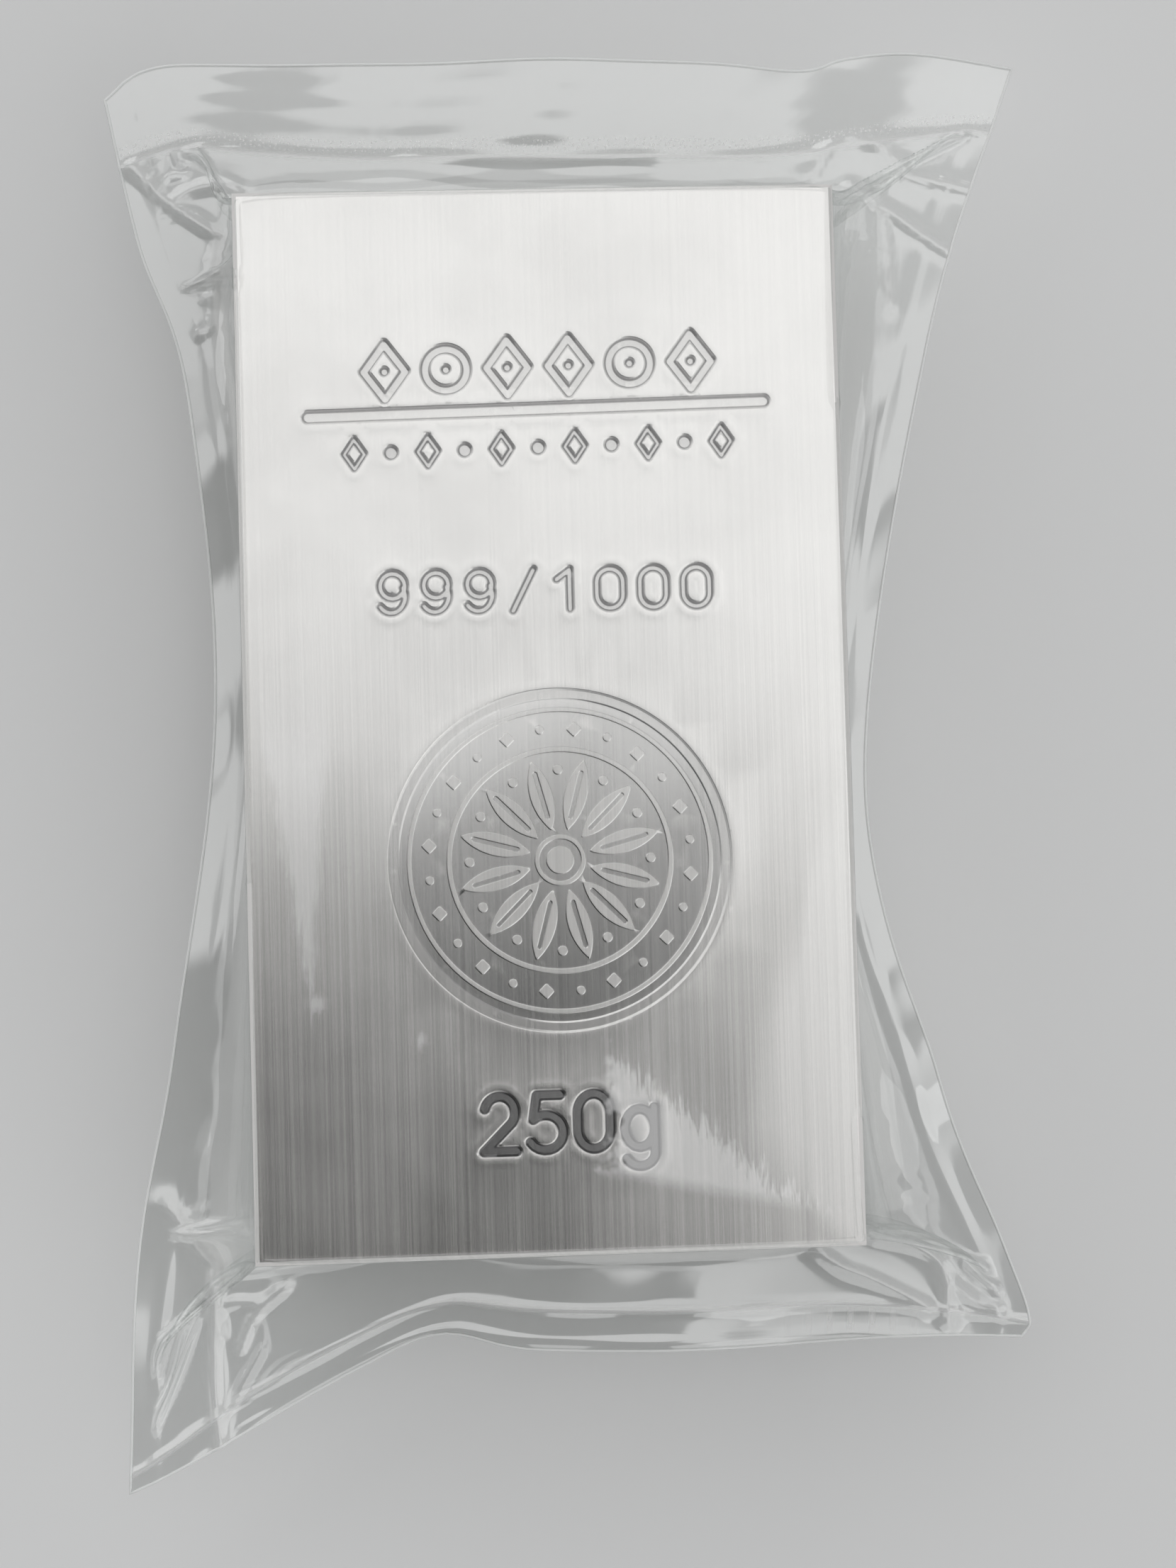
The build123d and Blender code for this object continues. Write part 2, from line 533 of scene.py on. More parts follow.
# Painted shade: a darker grey for the polished field, standing in for the darker reflection it shows
FIELD_PAINTED_SHADE = (0.72, 0.725, 0.73, 1)
# Painted shade: dark grey mixed into the stamps' walls and floors where shade falls
PAINTED_SHADE_GREY = (0.2, 0.2, 0.21, 1)
SPECK_GREY = (0.45, 0.45, 0.45, 1)


def aluminium_material():
    """Aluminium brushed lengthwise: fine streaks along U of the Brush map, faint smudges and a few specks,
    with painted shade down the stamps' walls, on their floors and on the polished field, and streaks painted
    fainter towards the head as if washed out by its highlight.
    """
    material, m = new_material("brushed_aluminium")
    brush = m.add("ShaderNodeUVMap", uv_map="Brush").outputs[0]
    fine = m.noise(m.mapped(brush, FINE_STREAKS), 1.0, detail=3.0, roughness=0.7)
    broad = m.noise(m.mapped(brush, BROAD_STREAKS), 1.0, detail=2.0)
    streak = m.times(broad, 0.3, m.times(fine, 0.7))
    along = m.xyz(brush)[0]
    # Painted highlight: the streaks are made fainter towards the head, as if washed out by the bright
    # reflection there
    highlight_fade = m.remap(along, -0.005, 0.02, 1.0, 0.45)
    shown = m.times(m.math("SUBTRACT", m.remap(streak, 0.35, 0.65), 0.5), highlight_fade, 0.5)
    smudge = m.noise(brush, 60, detail=3.0, roughness=0.6)
    grain = m.noise(brush, 2600, detail=1.0)
    speck = m.remap(grain, 0.83, 0.87)
    roughness = m.math("ADD", m.remap(streak, 0.3, 0.7, 0.205, 0.235), m.remap(smudge, 0.35, 0.7, 0.0, 0.04))
    finish = m.add("ShaderNodeAttribute", attribute_name="Finish").outputs["Fac"]
    polished = m.math("MULTIPLY", finish, -1.0, clamp=True)
    frosted = m.math("MULTIPLY", finish, 1.0, clamp=True)
    roughness = m.times(roughness, m.times(polished, -0.3, 1.0))
    roughness = m.times(frosted, 0.12, roughness)
    # Painted shade of the stamps' walls and floors, which darkens the metal's colour
    painted_shade = m.add("ShaderNodeAttribute", attribute_name="PaintedShade").outputs["Fac"]
    tone = m.mix_colour(shown, DARK_STREAK, LIGHT_STREAK)
    # Painted shade: the polished field is slightly darkened, as for its darker reflection
    tone = m.mix_colour(m.times(polished, 0.1), tone, FIELD_PAINTED_SHADE)
    tone = m.mix_colour(painted_shade, tone, PAINTED_SHADE_GREY)
    colour = m.mix_colour(speck, tone, SPECK_GREY)
    metal = {"Base Color": colour, "Metallic": 1.0, "Roughness": roughness, "Anisotropic": 0.7}
    metal["Tangent"] = m.add("ShaderNodeTangent", direction_type="UV_MAP", uv_map="Brush").outputs[0]
    m.surface(m.add("ShaderNodeBsdfPrincipled", metal))
    return material


# The pouch. Each film is a grid of points, relaxed from its flat cut over the ingot to the welded rim.

# How far the film lies off the metal, how near the back film comes to the floor, and the cut edge's radius
FILM_GAP = 0.08
FLOOR_GAP = 0.02
EDGE_BEAD = 0.14
WRAP_X = HALF_WIDTH + FILM_GAP
WRAP_Y = HALF_LENGTH + FILM_GAP
WRAP_Z = FACE_Z + FILM_GAP

# The rim in plan, close to the solids' rim. Head and foot run from left to right, as the side (-1 or 1),
# how far out from that side of the ingot, and how far beyond that end of it.
HEAD_RIM = [
    (-1, 11.8, 11.1), (-1, 8.4, 13.8), (-1, 2.3, 14.6), (-1, -12.0, 14.4),
    (1, -12.0, 13.9), (1, -1.1, 13.3), (1, 3.2, 14.5), (1, 9.1, 14.8), (1, 18.1, 13.1),
]
FOOT_RIM = [
    (-1, 12.1, 20.5), (-1, 7.0, 18.2), (-1, -7.5, 10.8), (-1, -15.0, 7.9), (-1, -23.4, 9.4),
    (1, -9.6, 9.9), (1, 3.9, 9.6), (1, 15.1, 10.0),
]
# The sides run from head to foot: how far out from the side, and how far beyond the head's end
RIGHT_RIM = [
    (18.1, 13.1), (9.2, -12.7), (2.8, -51.5), (8.2, -76.8),
    (13.6, -91.6), (15.8, -98.1), (15.1, -100.0),
]
LEFT_RIM = [
    (11.8, 11.1), (9.2, -1.7), (5.2, -14.8), (3.4, -42.8),
    (7.5, -72.0), (10.9, -89.7), (12.1, -110.5),
]


def rim_points():
    """The rim's four edges, as points in plan."""
    return {
        "head": [(s * (HALF_WIDTH + out), HALF_LENGTH + beyond) for s, out, beyond in HEAD_RIM],
        "foot": [(s * (HALF_WIDTH + out), -HALF_LENGTH - beyond) for s, out, beyond in FOOT_RIM],
        "right": [(HALF_WIDTH + out, HALF_LENGTH + beyond) for out, beyond in RIGHT_RIM],
        "left": [(-HALF_WIDTH - out, HALF_LENGTH + beyond) for out, beyond in LEFT_RIM],
    }


def smooth_curve(points, shares):
    """Points at the given shares of the length of a smooth curve through the given points."""
    points = np.array(points, float)
    ends = np.vstack([2 * points[0] - points[1], points, 2 * points[-1] - points[-2]])
    t = np.linspace(0, 1, 40, endpoint=False)[:, None]
    runs = []
    for p0, p1, p2, p3 in zip(ends, ends[1:], ends[2:], ends[3:]):
        runs.append(0.5 * (2 * p1 + (p2 - p0) * t + (2 * p0 - 5 * p1 + 4 * p2 - p3) * t**2
                           + (3 * p1 - p0 - 3 * p2 + p3) * t**3))
    line = np.vstack(runs + [points[-1:]])
    length = np.r_[0, np.cumsum(np.linalg.norm(np.diff(line, axis=0), axis=1))]
    at = np.asarray(shares) * length[-1]
    return np.column_stack([np.interp(at, length, line[:, 0]), np.interp(at, length, line[:, 1])])


def graded(count):
    """Places from -1 to 1, closer together at the ends."""
    t = np.linspace(-1, 1, count + 1)
    return 1.25 * t - 0.25 * t**3


# Flat cut of a film: its reach from the middle to the head, to the foot, and to the sides at the waist
HEAD_REACH = 65.3
FOOT_REACH = 60.6
SIDE_REACH = 37.6
# What the left and the right side gain, towards the head and towards the foot
LEFT_GAIN = (1.2, 1.4)
RIGHT_GAIN = (4.6, 3.4)
# The foot slants: how much further its left reaches, from how far left of the middle, over what width
FOOT_LEFT_EXTRA = 9.0
SLANT_START = 9
SLANT_WIDTH = 30
# Share by which the sides' ends are drawn in lengthwise
SIDE_PULL = 0.035
# Cells of the coarse grid
WING_COLUMNS = 17
FACE_COLUMNS = 26
HEAD_ROWS = 26
FACE_ROWS = 60
FOOT_ROWS = 24
# Where the welds begin: from the middle at head and foot, and from the cut's edge at the sides
HEAD_WELD = 57.0
FOOT_WELD = 57.2
SIDE_WELD = 2.2


def foot_slant(x):
    """How much further the left of the foot reaches."""
    return FOOT_LEFT_EXTRA * np.clip((-x - SLANT_START) / SLANT_WIDTH, 0, 1)


def flat_cut():
    """The film before it is wrapped: flat points in rows from head to foot, each from left to right."""
    face_y = WRAP_Y * graded(FACE_ROWS)[::-1]
    head_y = np.linspace(HEAD_REACH, WRAP_Y, HEAD_ROWS + 1)[:-1]
    foot_share = np.linspace(0, 1, FOOT_ROWS + 1)[1:]
    face_x = WRAP_X * graded(FACE_COLUMNS)
    wing = np.linspace(0, 1, WING_COLUMNS + 1)
    drawn_in = SIDE_PULL * np.r_[1 - wing[:-1], np.zeros(face_x.size), wing[1:]]

    def columns(y):
        up = np.clip(y / 60, 0, 2) ** 1.5
        down = np.clip(-y / 60, 0, 2) ** 1.5
        left = SIDE_REACH + LEFT_GAIN[0] * up + LEFT_GAIN[1] * down
        right = SIDE_REACH + RIGHT_GAIN[0] * up + RIGHT_GAIN[1] * down
        return np.r_[-left + (left - WRAP_X) * wing[:-1], face_x, WRAP_X + (right - WRAP_X) * wing[1:]]

    rows = []
    for y in np.r_[head_y, face_y]:
        x = columns(y)
        rows.append(np.column_stack([x, y - min(y, WRAP_Y) * drawn_in]))
    for share in foot_share:
        x = columns(-WRAP_Y - (FOOT_REACH - WRAP_Y) * share)
        reach = FOOT_REACH + foot_slant(x)
        rows.append(np.column_stack([x, -WRAP_Y * (1 - drawn_in) - (reach - WRAP_Y) * share]))
    return np.array(rows)


def thread_ends(grid):
    """Both ends of the film's threads: rows, columns, both diagonals, and two steps of rows and columns."""
    return {
        "row": (grid[:, 1:], grid[:, :-1]),
        "column": (grid[1:], grid[:-1]),
        "down": (grid[1:, 1:], grid[:-1, :-1]),
        "up": (grid[1:, :-1], grid[:-1, 1:]),
        "row2": (grid[:, 2:], grid[:, :-2]),
        "column2": (grid[2:], grid[:-2]),
    }


def lengths(grid):
    return {name: np.linalg.norm(a - b, axis=-1) for name, (a, b) in thread_ends(grid).items()}


def middles(grid):
    return {name: (a + b) / 2 for name, (a, b) in thread_ends(grid).items()}


def tighten(a, b, rest, stiffness, give):
    """Moves pairs of points towards their rest length; give is their share of stiffness when too close."""
    step = b - a
    length = np.sqrt((step * step).sum(-1)) + 1e-9
    error = length - rest
    error = np.where(error < 0, error * give, error)
    step *= (0.5 * stiffness * error / length)[..., None]
    a += step
    b -= step


def tighten_all(p, rest, bend, give):
    """One pass over the film's threads, in groups that share no point; bend is the stiffness of two steps."""

    def couples(count, first):
        end = first + 2 * ((count - first) // 2)
        return slice(first, end, 2), slice(first + 1, end, 2)

    for first in (0, 1):
        a, b = couples(p.shape[1], first)
        tighten(p[:, a], p[:, b], rest["row"][:, a], 1.0, give)
        a, b = couples(p.shape[0], first)
        tighten(p[a], p[b], rest["column"][a], 1.0, give)
        tighten(p[a, :-1], p[b, 1:], rest["down"][a], DIAGONAL_STIFFNESS, give)
        tighten(p[a, 1:], p[b, :-1], rest["up"][a], DIAGONAL_STIFFNESS, give)
    for first in range(4):
        a, b = p[:, first:-2:4], p[:, first + 2 :: 4]
        tighten(a, b, rest["row2"][:, first::4], bend, 1.0)
        a, b = p[first:-2:4], p[first + 2 :: 4]
        tighten(a, b, rest["column2"][first::4], bend, 1.0)


def grid_normals(p):
    """The film's normal at each point."""
    along = np.empty_like(p)
    down = np.empty_like(p)
    along[:, 1:-1] = p[:, 2:] - p[:, :-2]
    along[:, 0] = p[:, 1] - p[:, 0]
    along[:, -1] = p[:, -1] - p[:, -2]
    down[1:-1] = p[2:] - p[:-2]
    down[0] = p[1] - p[0]
    down[-1] = p[-1] - p[-2]
    n = np.cross(down, along)
    return n / (np.linalg.norm(n, axis=-1, keepdims=True) + 1e-12)


def keep_outside(p):
    """Keeps the film above the seam and out of the ingot."""
    x, y, z = p[..., 0], p[..., 1], p[..., 2]
    np.maximum(z, SEAM_Z + FILM_GAP, out=z)
    depth = np.stack([WRAP_X - np.abs(x), WRAP_Y - np.abs(y), WRAP_Z - z])
    inside = (depth > 0).all(0)
    nearest = depth.argmin(0)
    up = inside & (nearest == 2)
    z[up] = WRAP_Z
    side = inside & (nearest == 0)
    x[side] = np.sign(x[side]) * WRAP_X
    end = inside & (nearest == 1)
    y[end] = np.sign(y[end]) * WRAP_Y


# Each edge of the film as an index into its grid
EDGES = {
    "head": (0, slice(None)),
    "foot": (-1, slice(None)),
    "right": (slice(None), -1),
    "left": (slice(None), 0),
}


def welded_part(flat):
    """Which points of the flat cut lie in the weld."""
    x, y = flat[..., 0], flat[..., 1]
    welded = (y > HEAD_WELD) | (y < -FOOT_WELD - foot_slant(x))
    return welded | (x > flat[:, -1:, 0] - SIDE_WELD) | (x < flat[:, :1, 0] + SIDE_WELD)


# How the film is relaxed: stiffness of its diagonals, speed kept from step to step, the furthest that a
# point moves in a step, the weight as a share of the pressure, and how firmly rim and weld are pulled
DIAGONAL_STIFFNESS = 0.8
SPEED_KEPT = 0.93
TOP_SPEED = 0.5
WEIGHT_SHARE = 0.3
RIM_PULL = 0.5
WELD_PULL = 0.6


def relax_film(flat, start, rest, steps, drawing, bend, give, pressure):
    """Wraps the film over the ingot; drawing is the share of the steps in which its rim comes to the seam."""
    targets = {}
    for name, points in rim_points().items():
        edge = flat[EDGES[name]]
        length = np.r_[0, np.cumsum(np.linalg.norm(np.diff(edge, axis=0), axis=1))]
        targets[name] = smooth_curve(points, length / length[-1])
    welded = welded_part(flat)
    loose = ~welded[..., None]
    p = start.copy()
    speed = np.zeros_like(p)
    for k in range(steps):
        drawn = min(1.0, k / (drawing * steps)) if drawing else 1.0
        speed *= SPEED_KEPT
        speed -= pressure * grid_normals(p) * loose
        speed[..., 2] -= WEIGHT_SHARE * pressure
        q = p + speed
        rim_z = start[..., 2] * (1 - drawn) + (SEAM_Z + FILM_GAP) * drawn
        for _ in range(2):
            tighten_all(q, rest, bend, give)
            for name, place in EDGES.items():
                aim = start[place][:, :2] * (1 - drawn) + targets[name] * drawn
                q[place + (slice(0, 2),)] += RIM_PULL * (aim - q[place + (slice(0, 2),)])
            q[..., 2] = np.where(welded, q[..., 2] + WELD_PULL * (rim_z - q[..., 2]), q[..., 2])
            keep_outside(q)
        speed = q - p
        fast = np.linalg.norm(speed, axis=-1, keepdims=True)
        speed *= np.minimum(1.0, TOP_SPEED / (fast + 1e-9))
        p = q
    return p


def finer(grid):
    """The same grid with a point between each two."""
    rows, columns, size = grid.shape
    out = np.empty((2 * rows - 1, 2 * columns - 1, size))
    out[::2, ::2] = grid
    out[1::2, ::2] = (grid[1:] + grid[:-1]) / 2
    out[:, 1::2] = (out[:, 2::2] + out[:, :-1:2]) / 2
    return out


def softened(p, times):
    """The film with its points drawn towards their neighbours."""
    for _ in range(times):
        around = p[:-2, 1:-1] + p[2:, 1:-1] + p[1:-1, :-2] + p[1:-1, 2:]
        p = p.copy()
        p[1:-1, 1:-1] = (4 * p[1:-1, 1:-1] + around) / 8
        keep_outside(p)
    return p


# Where the spare film crumples: x, y and radius in plan
CRUMPLES = [(-31, 48, 7), (30, 49, 8), (30, -49.5, 8), (-28, -51, 8), (31, 43, 4)]
# The share of length that is to spare there, and how uneven the film is before it is relaxed
SPARE_FILM = 0.02
UNEVENNESS = 0.03


def slack(place):
    """How much of the film's spare length is left at a place in plan, from 0 to 1."""
    x, y = place[..., 0], place[..., 1]
    return np.max([np.exp(-((x - cx) ** 2 + (y - cy) ** 2) / r**2) for cx, cy, r in CRUMPLES], axis=0)


def shrunk_lengths(flat, p):
    """Rest lengths once the film has shrunk on: its cut lengths where it crumples, as it lies elsewhere."""
    cut, now, where = lengths(flat), lengths(p), middles(p)
    out = {}
    for name in cut:
        loose = slack(where[name])
        spare = np.maximum(cut[name], now[name]) * (1 + SPARE_FILM * loose)
        out[name] = now[name] * (1 - loose) + spare * loose
    return out


def wrapped_film(flat, steps, seed):
    """The wrapped film: relaxed on a coarse grid, then its crumples on a grid twice as fine."""
    random = np.random.default_rng(seed)
    start = np.dstack([flat, WRAP_Z + random.normal(0, UNEVENNESS, flat.shape[:2])])
    p = relax_film(flat, start, lengths(flat), steps[0], drawing=0.55, bend=0.3, give=0.15, pressure=0.008)
    flat = finer(flat)
    p = softened(finer(p), 4)
    p[..., 2] += random.normal(0, UNEVENNESS, p.shape[:2])
    rest = shrunk_lengths(flat, p)
    return relax_film(flat, p, rest, steps[1], drawing=0, bend=0.08, give=0.9, pressure=0.003)


# Folds pressed into the crumples: points in plan, height and half width
CREASES = [
    ([(-35.0, 50.1), (-31.8, 46.9), (-27.7, 44.0)], 0.55, 0.55),
    ([(-31.4, 47.2), (-29.8, 48.2), (-27.4, 48.5), (-25.8, 47.8)], 0.5, 0.5),
    ([(-29.5, 35.3), (-28.4, 36.6), (-27.9, 43.5)], 0.3, 0.5),
    ([(25.1, 48.5), (27.2, 51.6), (29.7, 52.2), (33.0, 49.8), (33.4, 48.6)], 0.28, 0.75),
    ([(33.4, 48.6), (36.5, 47.9), (39.3, 47.2)], 0.35, 0.6),
    ([(28.6, 47.4), (31.5, 45.6), (36.9, 41.5)], 0.45, 0.5),
    ([(27.9, 42.6), (28.6, 45.6), (29.9, 46.6), (31.5, 45.2), (31.6, 36.4)], 0.3, 0.45),
    ([(22.6, -46.8), (24.7, -48.3), (27.3, -49.4), (32.4, -52.1)], 0.5, 0.5),
    ([(27.8, -45.6), (31.0, -46.6), (33.0, -47.8), (33.9, -49.4), (34.1, -53.6)], 0.5, 0.5),
    ([(34.1, -49.8), (36.8, -52.0), (38.4, -52.5)], 0.35, 0.5),
    ([(-30.0, -46.9), (-30.2, -52.0), (-30.2, -57.4), (-29.8, -61.6)], 0.6, 0.5),
    ([(-24.0, -48.3), (-26.6, -50.6), (-28.0, -53.6)], 0.45, 0.45),
    ([(-26.2, -49.6), (-29.4, -49.9), (-29.4, -52.6)], 0.35, 0.4),
    ([(-33.9, -40.9), (-31.6, -44.4), (-29.5, -46.7)], 0.35, 0.6),
]
# How steep a fold's flanks are, and how far from the ingot a fold has its full height
CREASE_SHARPNESS = 1.3
CREASE_START = 0.6


def creased(place):
    """Height of the pressed folds at places in plan."""
    x, y = place[..., 0], place[..., 1]
    height = np.zeros_like(x)
    for points, rise, width in CREASES:
        line = smooth_curve(points, np.linspace(0, 1, 12))
        near, _ = nearest_segment(np.hstack([line[:-1], line[1:]]), x, y)
        height = np.maximum(height, rise * np.exp(-((near / width) ** CREASE_SHARPNESS)))
    outside = np.maximum(np.abs(x) - WRAP_X, np.abs(y) - WRAP_Y)
    return height * np.clip(outside / CREASE_START, 0, 1)


# How far from the middle the head weld's faint ribs and the foot weld's outer ridge are
HEAD_RIBS = (59.3, 61.4, 63.6)
FOOT_OUTER_RIDGE = 60.0
# Half widths of the ribs and of the welds' ridges
RIB_HALF = 0.6
RIDGE_HALF = 0.35
# How far each weld's line lies inside its weld
WELD_LINE = 0.3
# The rungs pressed into the foot's weld: their pitch, and where along the foot they are
RUNG_PITCH = 1.85
RUNGS_MIDDLE = 26.5
RUNGS_HALF = 8.0


def weld_relief(flat):
    """Height of the ridges that the welding bars leave, on the flat film."""
    x, y = flat[..., 0], flat[..., 1]
    below = -y - foot_slant(x)
    edge = np.minimum(flat[:, -1:, 0] - x, x - flat[:, :1, 0])
    height = 0.16 * ridge(y, HEAD_WELD + WELD_LINE, RIDGE_HALF)
    for rib in HEAD_RIBS:
        rise = (0.04 + 0.015 * np.sin(0.17 * x + rib)) * np.clip((16 - x) / 20, 0.2, 1)
        height += rise * ridge(y, rib + 0.15 * np.sin(0.11 * x + 2 * rib), RIB_HALF)
    height += 0.2 * ridge(below, FOOT_WELD + WELD_LINE, RIDGE_HALF)
    height += 0.16 * ridge(below, FOOT_OUTER_RIDGE, 0.3)
    return height + 0.1 * ridge(edge, SIDE_WELD, RIDGE_HALF)


def rim_wave(place):
    """The welded rim's slow waves, larger at the ears."""
    x, y = place[..., 0], place[..., 1]
    ear = np.clip(np.hypot(np.abs(x) - 25, np.abs(y) - 45) / 14, 0, 1)
    wave = np.sin(0.12 * x + 0.9) * np.cos(0.11 * y - 0.4) + 0.2 * np.sin(0.35 * x - 0.3 * y)
    return (0.1 + 0.9 * ear) * wave


# Height of the film's swells, and what keeps the lowest of them above the face
SWELL = 0.045
SWELL_DEEPEST = 2.6


def lie_of_face(place):
    """How far the film stands off the face, in slow swells."""
    x, y = place[..., 0], place[..., 1]
    swell = np.sin(0.21 * x + 0.05 * y) + np.sin(0.13 * y - 0.1 * x + 1.0)
    swell += 0.6 * np.sin(0.34 * x - 0.22 * y + 2.0)
    on_face = np.clip((HALF_WIDTH - np.abs(x)) / 4, 0, 1) * np.clip((HALF_LENGTH - np.abs(y)) / 4, 0, 1)
    return SWELL * on_face * (swell + SWELL_DEEPEST)


# Height over the seam up to which the film waves in full, and the height over which its waves fade
RIM_TOP = 1
RIM_FADE = 5


def film_points(flat, p, side):
    """A film's final points; side is 1 over the face and -1 under the back."""
    points = p.copy()
    if side > 0:
        points[..., 2] += lie_of_face(p) * (p[..., 2] > WRAP_Z - 0.3)
    points[..., 2] = SEAM_Z + side * (points[..., 2] - SEAM_Z)
    flatness = np.clip(1 - (p[..., 2] - SEAM_Z - RIM_TOP) / RIM_FADE, 0, 1)
    points[..., 2] += flatness * (rim_wave(p) + weld_relief(flat)) + creased(p)
    np.maximum(points[..., 2], FLOOR_GAP, out=points[..., 2])
    return points


def make_film(name, node, flat, points, side, material):
    """One film as a mesh. Its Flat map is the flat cut, and its Crease attribute the height of its folds."""
    rows, columns = flat.shape[:2]
    corner = np.arange(rows * columns).reshape(rows, columns)
    quads = np.stack([corner[:-1, :-1], corner[1:, :-1], corner[1:, 1:], corner[:-1, 1:]], -1).reshape(-1, 4)
    mesh = bpy.data.meshes.new(name)
    mesh.from_pydata((points.reshape(-1, 3) * MM).tolist(), [], quads[:, ::side].tolist())
    layer = mesh.uv_layers.new(name="Flat")
    uv = flat.reshape(-1, 2)[[loop.vertex_index for loop in mesh.loops]]
    layer.data.foreach_set("uv", uv.ravel())
    layer = mesh.attributes.new("Crease", "FLOAT", "POINT")
    layer.data.foreach_set("value", creased(points).ravel())
    piece = link_piece(name, mesh, material)
    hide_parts(node)


def make_rim_edge(points, material):
    """The cut edge of the two films: a thin round bead round the pouch."""
    line = np.vstack([points[0, :-1], points[:-1, -1], points[-1, :0:-1], points[:0:-1, 0]])
    line[:, 2] -= FILM_GAP
    ahead = np.roll(line, -1, axis=0) - np.roll(line, 1, axis=0)
    ahead /= np.linalg.norm(ahead, axis=1, keepdims=True)
    across = np.cross(ahead, (0, 0, 1))
    across /= np.linalg.norm(across, axis=1, keepdims=True)
    up = np.cross(across, ahead)
    sides = 6
    turns = 2 * np.pi * np.arange(sides) / sides
    rings = [line + EDGE_BEAD * (np.cos(t) * across + np.sin(t) * up) for t in turns]
    verts = np.stack(rings, 1).reshape(-1, 3)
    count = len(line)
    faces = []
    for k in range(count):
        for s in range(sides):
            here, there = k * sides, (k + 1) % count * sides
            n = (s + 1) % sides
            faces.append((here + s, there + s, there + n, here + n))
    mesh = bpy.data.meshes.new("film_edge")
    mesh.from_pydata((verts * MM).tolist(), [], faces)
    link_piece("film_edge", mesh, material)


# What the film lets through, faced and at a slant, and the grey of its milky parts
FACED_TINT = (0.965, 0.97, 0.966, 1)
SLANT_TINT = (0.80, 0.815, 0.81, 1)
MILK = (0.93, 0.93, 0.93, 1)

# Edges of the bright patches on the flat film, as (ax, ay, bx, by); a patch lies to the right of its edges.
PATCH_TOP = (3.5, -25.8, 19.5, -39.3)
PATCH_FOOT = (19.5, -40.4, 3.8, -37.2)
PATCH_LEFT = (4.2, -37.0, 4.2, -26.0)
WEDGE_LEFT = (-20.6, -19.0, -24.0, 1.0)
WEDGE_RIGHT = (-18.0, 1.0, -19.6, -19.0)
# Small bright flecks: place and radius
FLECKS = [((-19.5, -22.3, 0), 0.8), ((-11.0, -25.6, 0), 0.5)]


def milky_welds(m, flat, x, y):
    """How milky the welds are: a row of bubbles, the lines of both welds, and rungs at the foot's right."""
    slant_start = -SLANT_START / SLANT_WIDTH
    slant = m.math("MULTIPLY_ADD", x, -1 / SLANT_WIDTH, slant_start, clamp=True)
    slant = m.times(slant, FOOT_LEFT_EXTRA)
    below = m.math("SUBTRACT", m.times(y, -1.0), slant)
    cells = {"Vector": flat, "Scale": 2.2, "Randomness": 0.7}
    dots = m.add("ShaderNodeTexVoronoi", cells, voronoi_dimensions="2D").outputs["Distance"]
    bubbles = m.times(m.remap(dots, 0.16, 0.3, 1.0, 0.0), m.band(y, HEAD_WELD + 1.4, 0.8))
    head_line = m.band(y, HEAD_WELD + WELD_LINE, 0.4)
    lines = m.most(head_line, m.band(below, FOOT_WELD + WELD_LINE, 0.4))
    rungs = m.math("COSINE", m.times(x, 2 * math.pi / RUNG_PITCH))
    rungs = m.times(m.remap(rungs, 0.3, 1.0), m.band(below, FOOT_WELD + 1.6, 1.6))
    rungs = m.times(rungs, m.band(x, RUNGS_MIDDLE, RUNGS_HALF))
    milky = m.most(m.times(bubbles, 0.5), m.times(lines, 0.3))
    return m.most(milky, m.times(rungs, 0.35))


def bright_patches(m, flat, x, y):
    """How bright the face's patches are: a wide one with ragged edges, a wedge on the left, and flecks."""
    feather = m.noise(m.mapped(flat, (2.3, 0.35, 1)), 1.0, detail=2.0, roughness=0.7, dimensions="2D")
    ragged = m.times(feather, 4.6, -2.3)
    wide = m.most(m.math("ADD", m.line(x, y, *PATCH_TOP), ragged), m.line(x, y, *PATCH_FOOT))
    blotch = m.noise(flat, 0.5, detail=2.0, roughness=0.65, dimensions="2D")
    blotch = m.times(blotch, 5.0, -2.5)
    wide = m.most(wide, m.math("ADD", blotch, m.line(x, y, *PATCH_LEFT)))
    wedge = m.most(m.line(x, y, *WEDGE_LEFT), m.line(x, y, *WEDGE_RIGHT))
    for place, radius in FLECKS:
        off = m.add("ShaderNodeVectorMath", {0: flat, 1: place}, operation="DISTANCE").outputs["Value"]
        wedge = m.math("MINIMUM", wedge, m.math("SUBTRACT", off, radius))
    wedge = m.remap(m.times(ragged, 0.3, wedge), -0.8, 0.4, 0.19, 0.0)
    wedge = m.times(wedge, m.remap(y, -4.0, 7.0, 1.0, 0.0))
    return m.most(m.remap(wide, -1.2, 0.5, 0.25, 0.0), wedge)


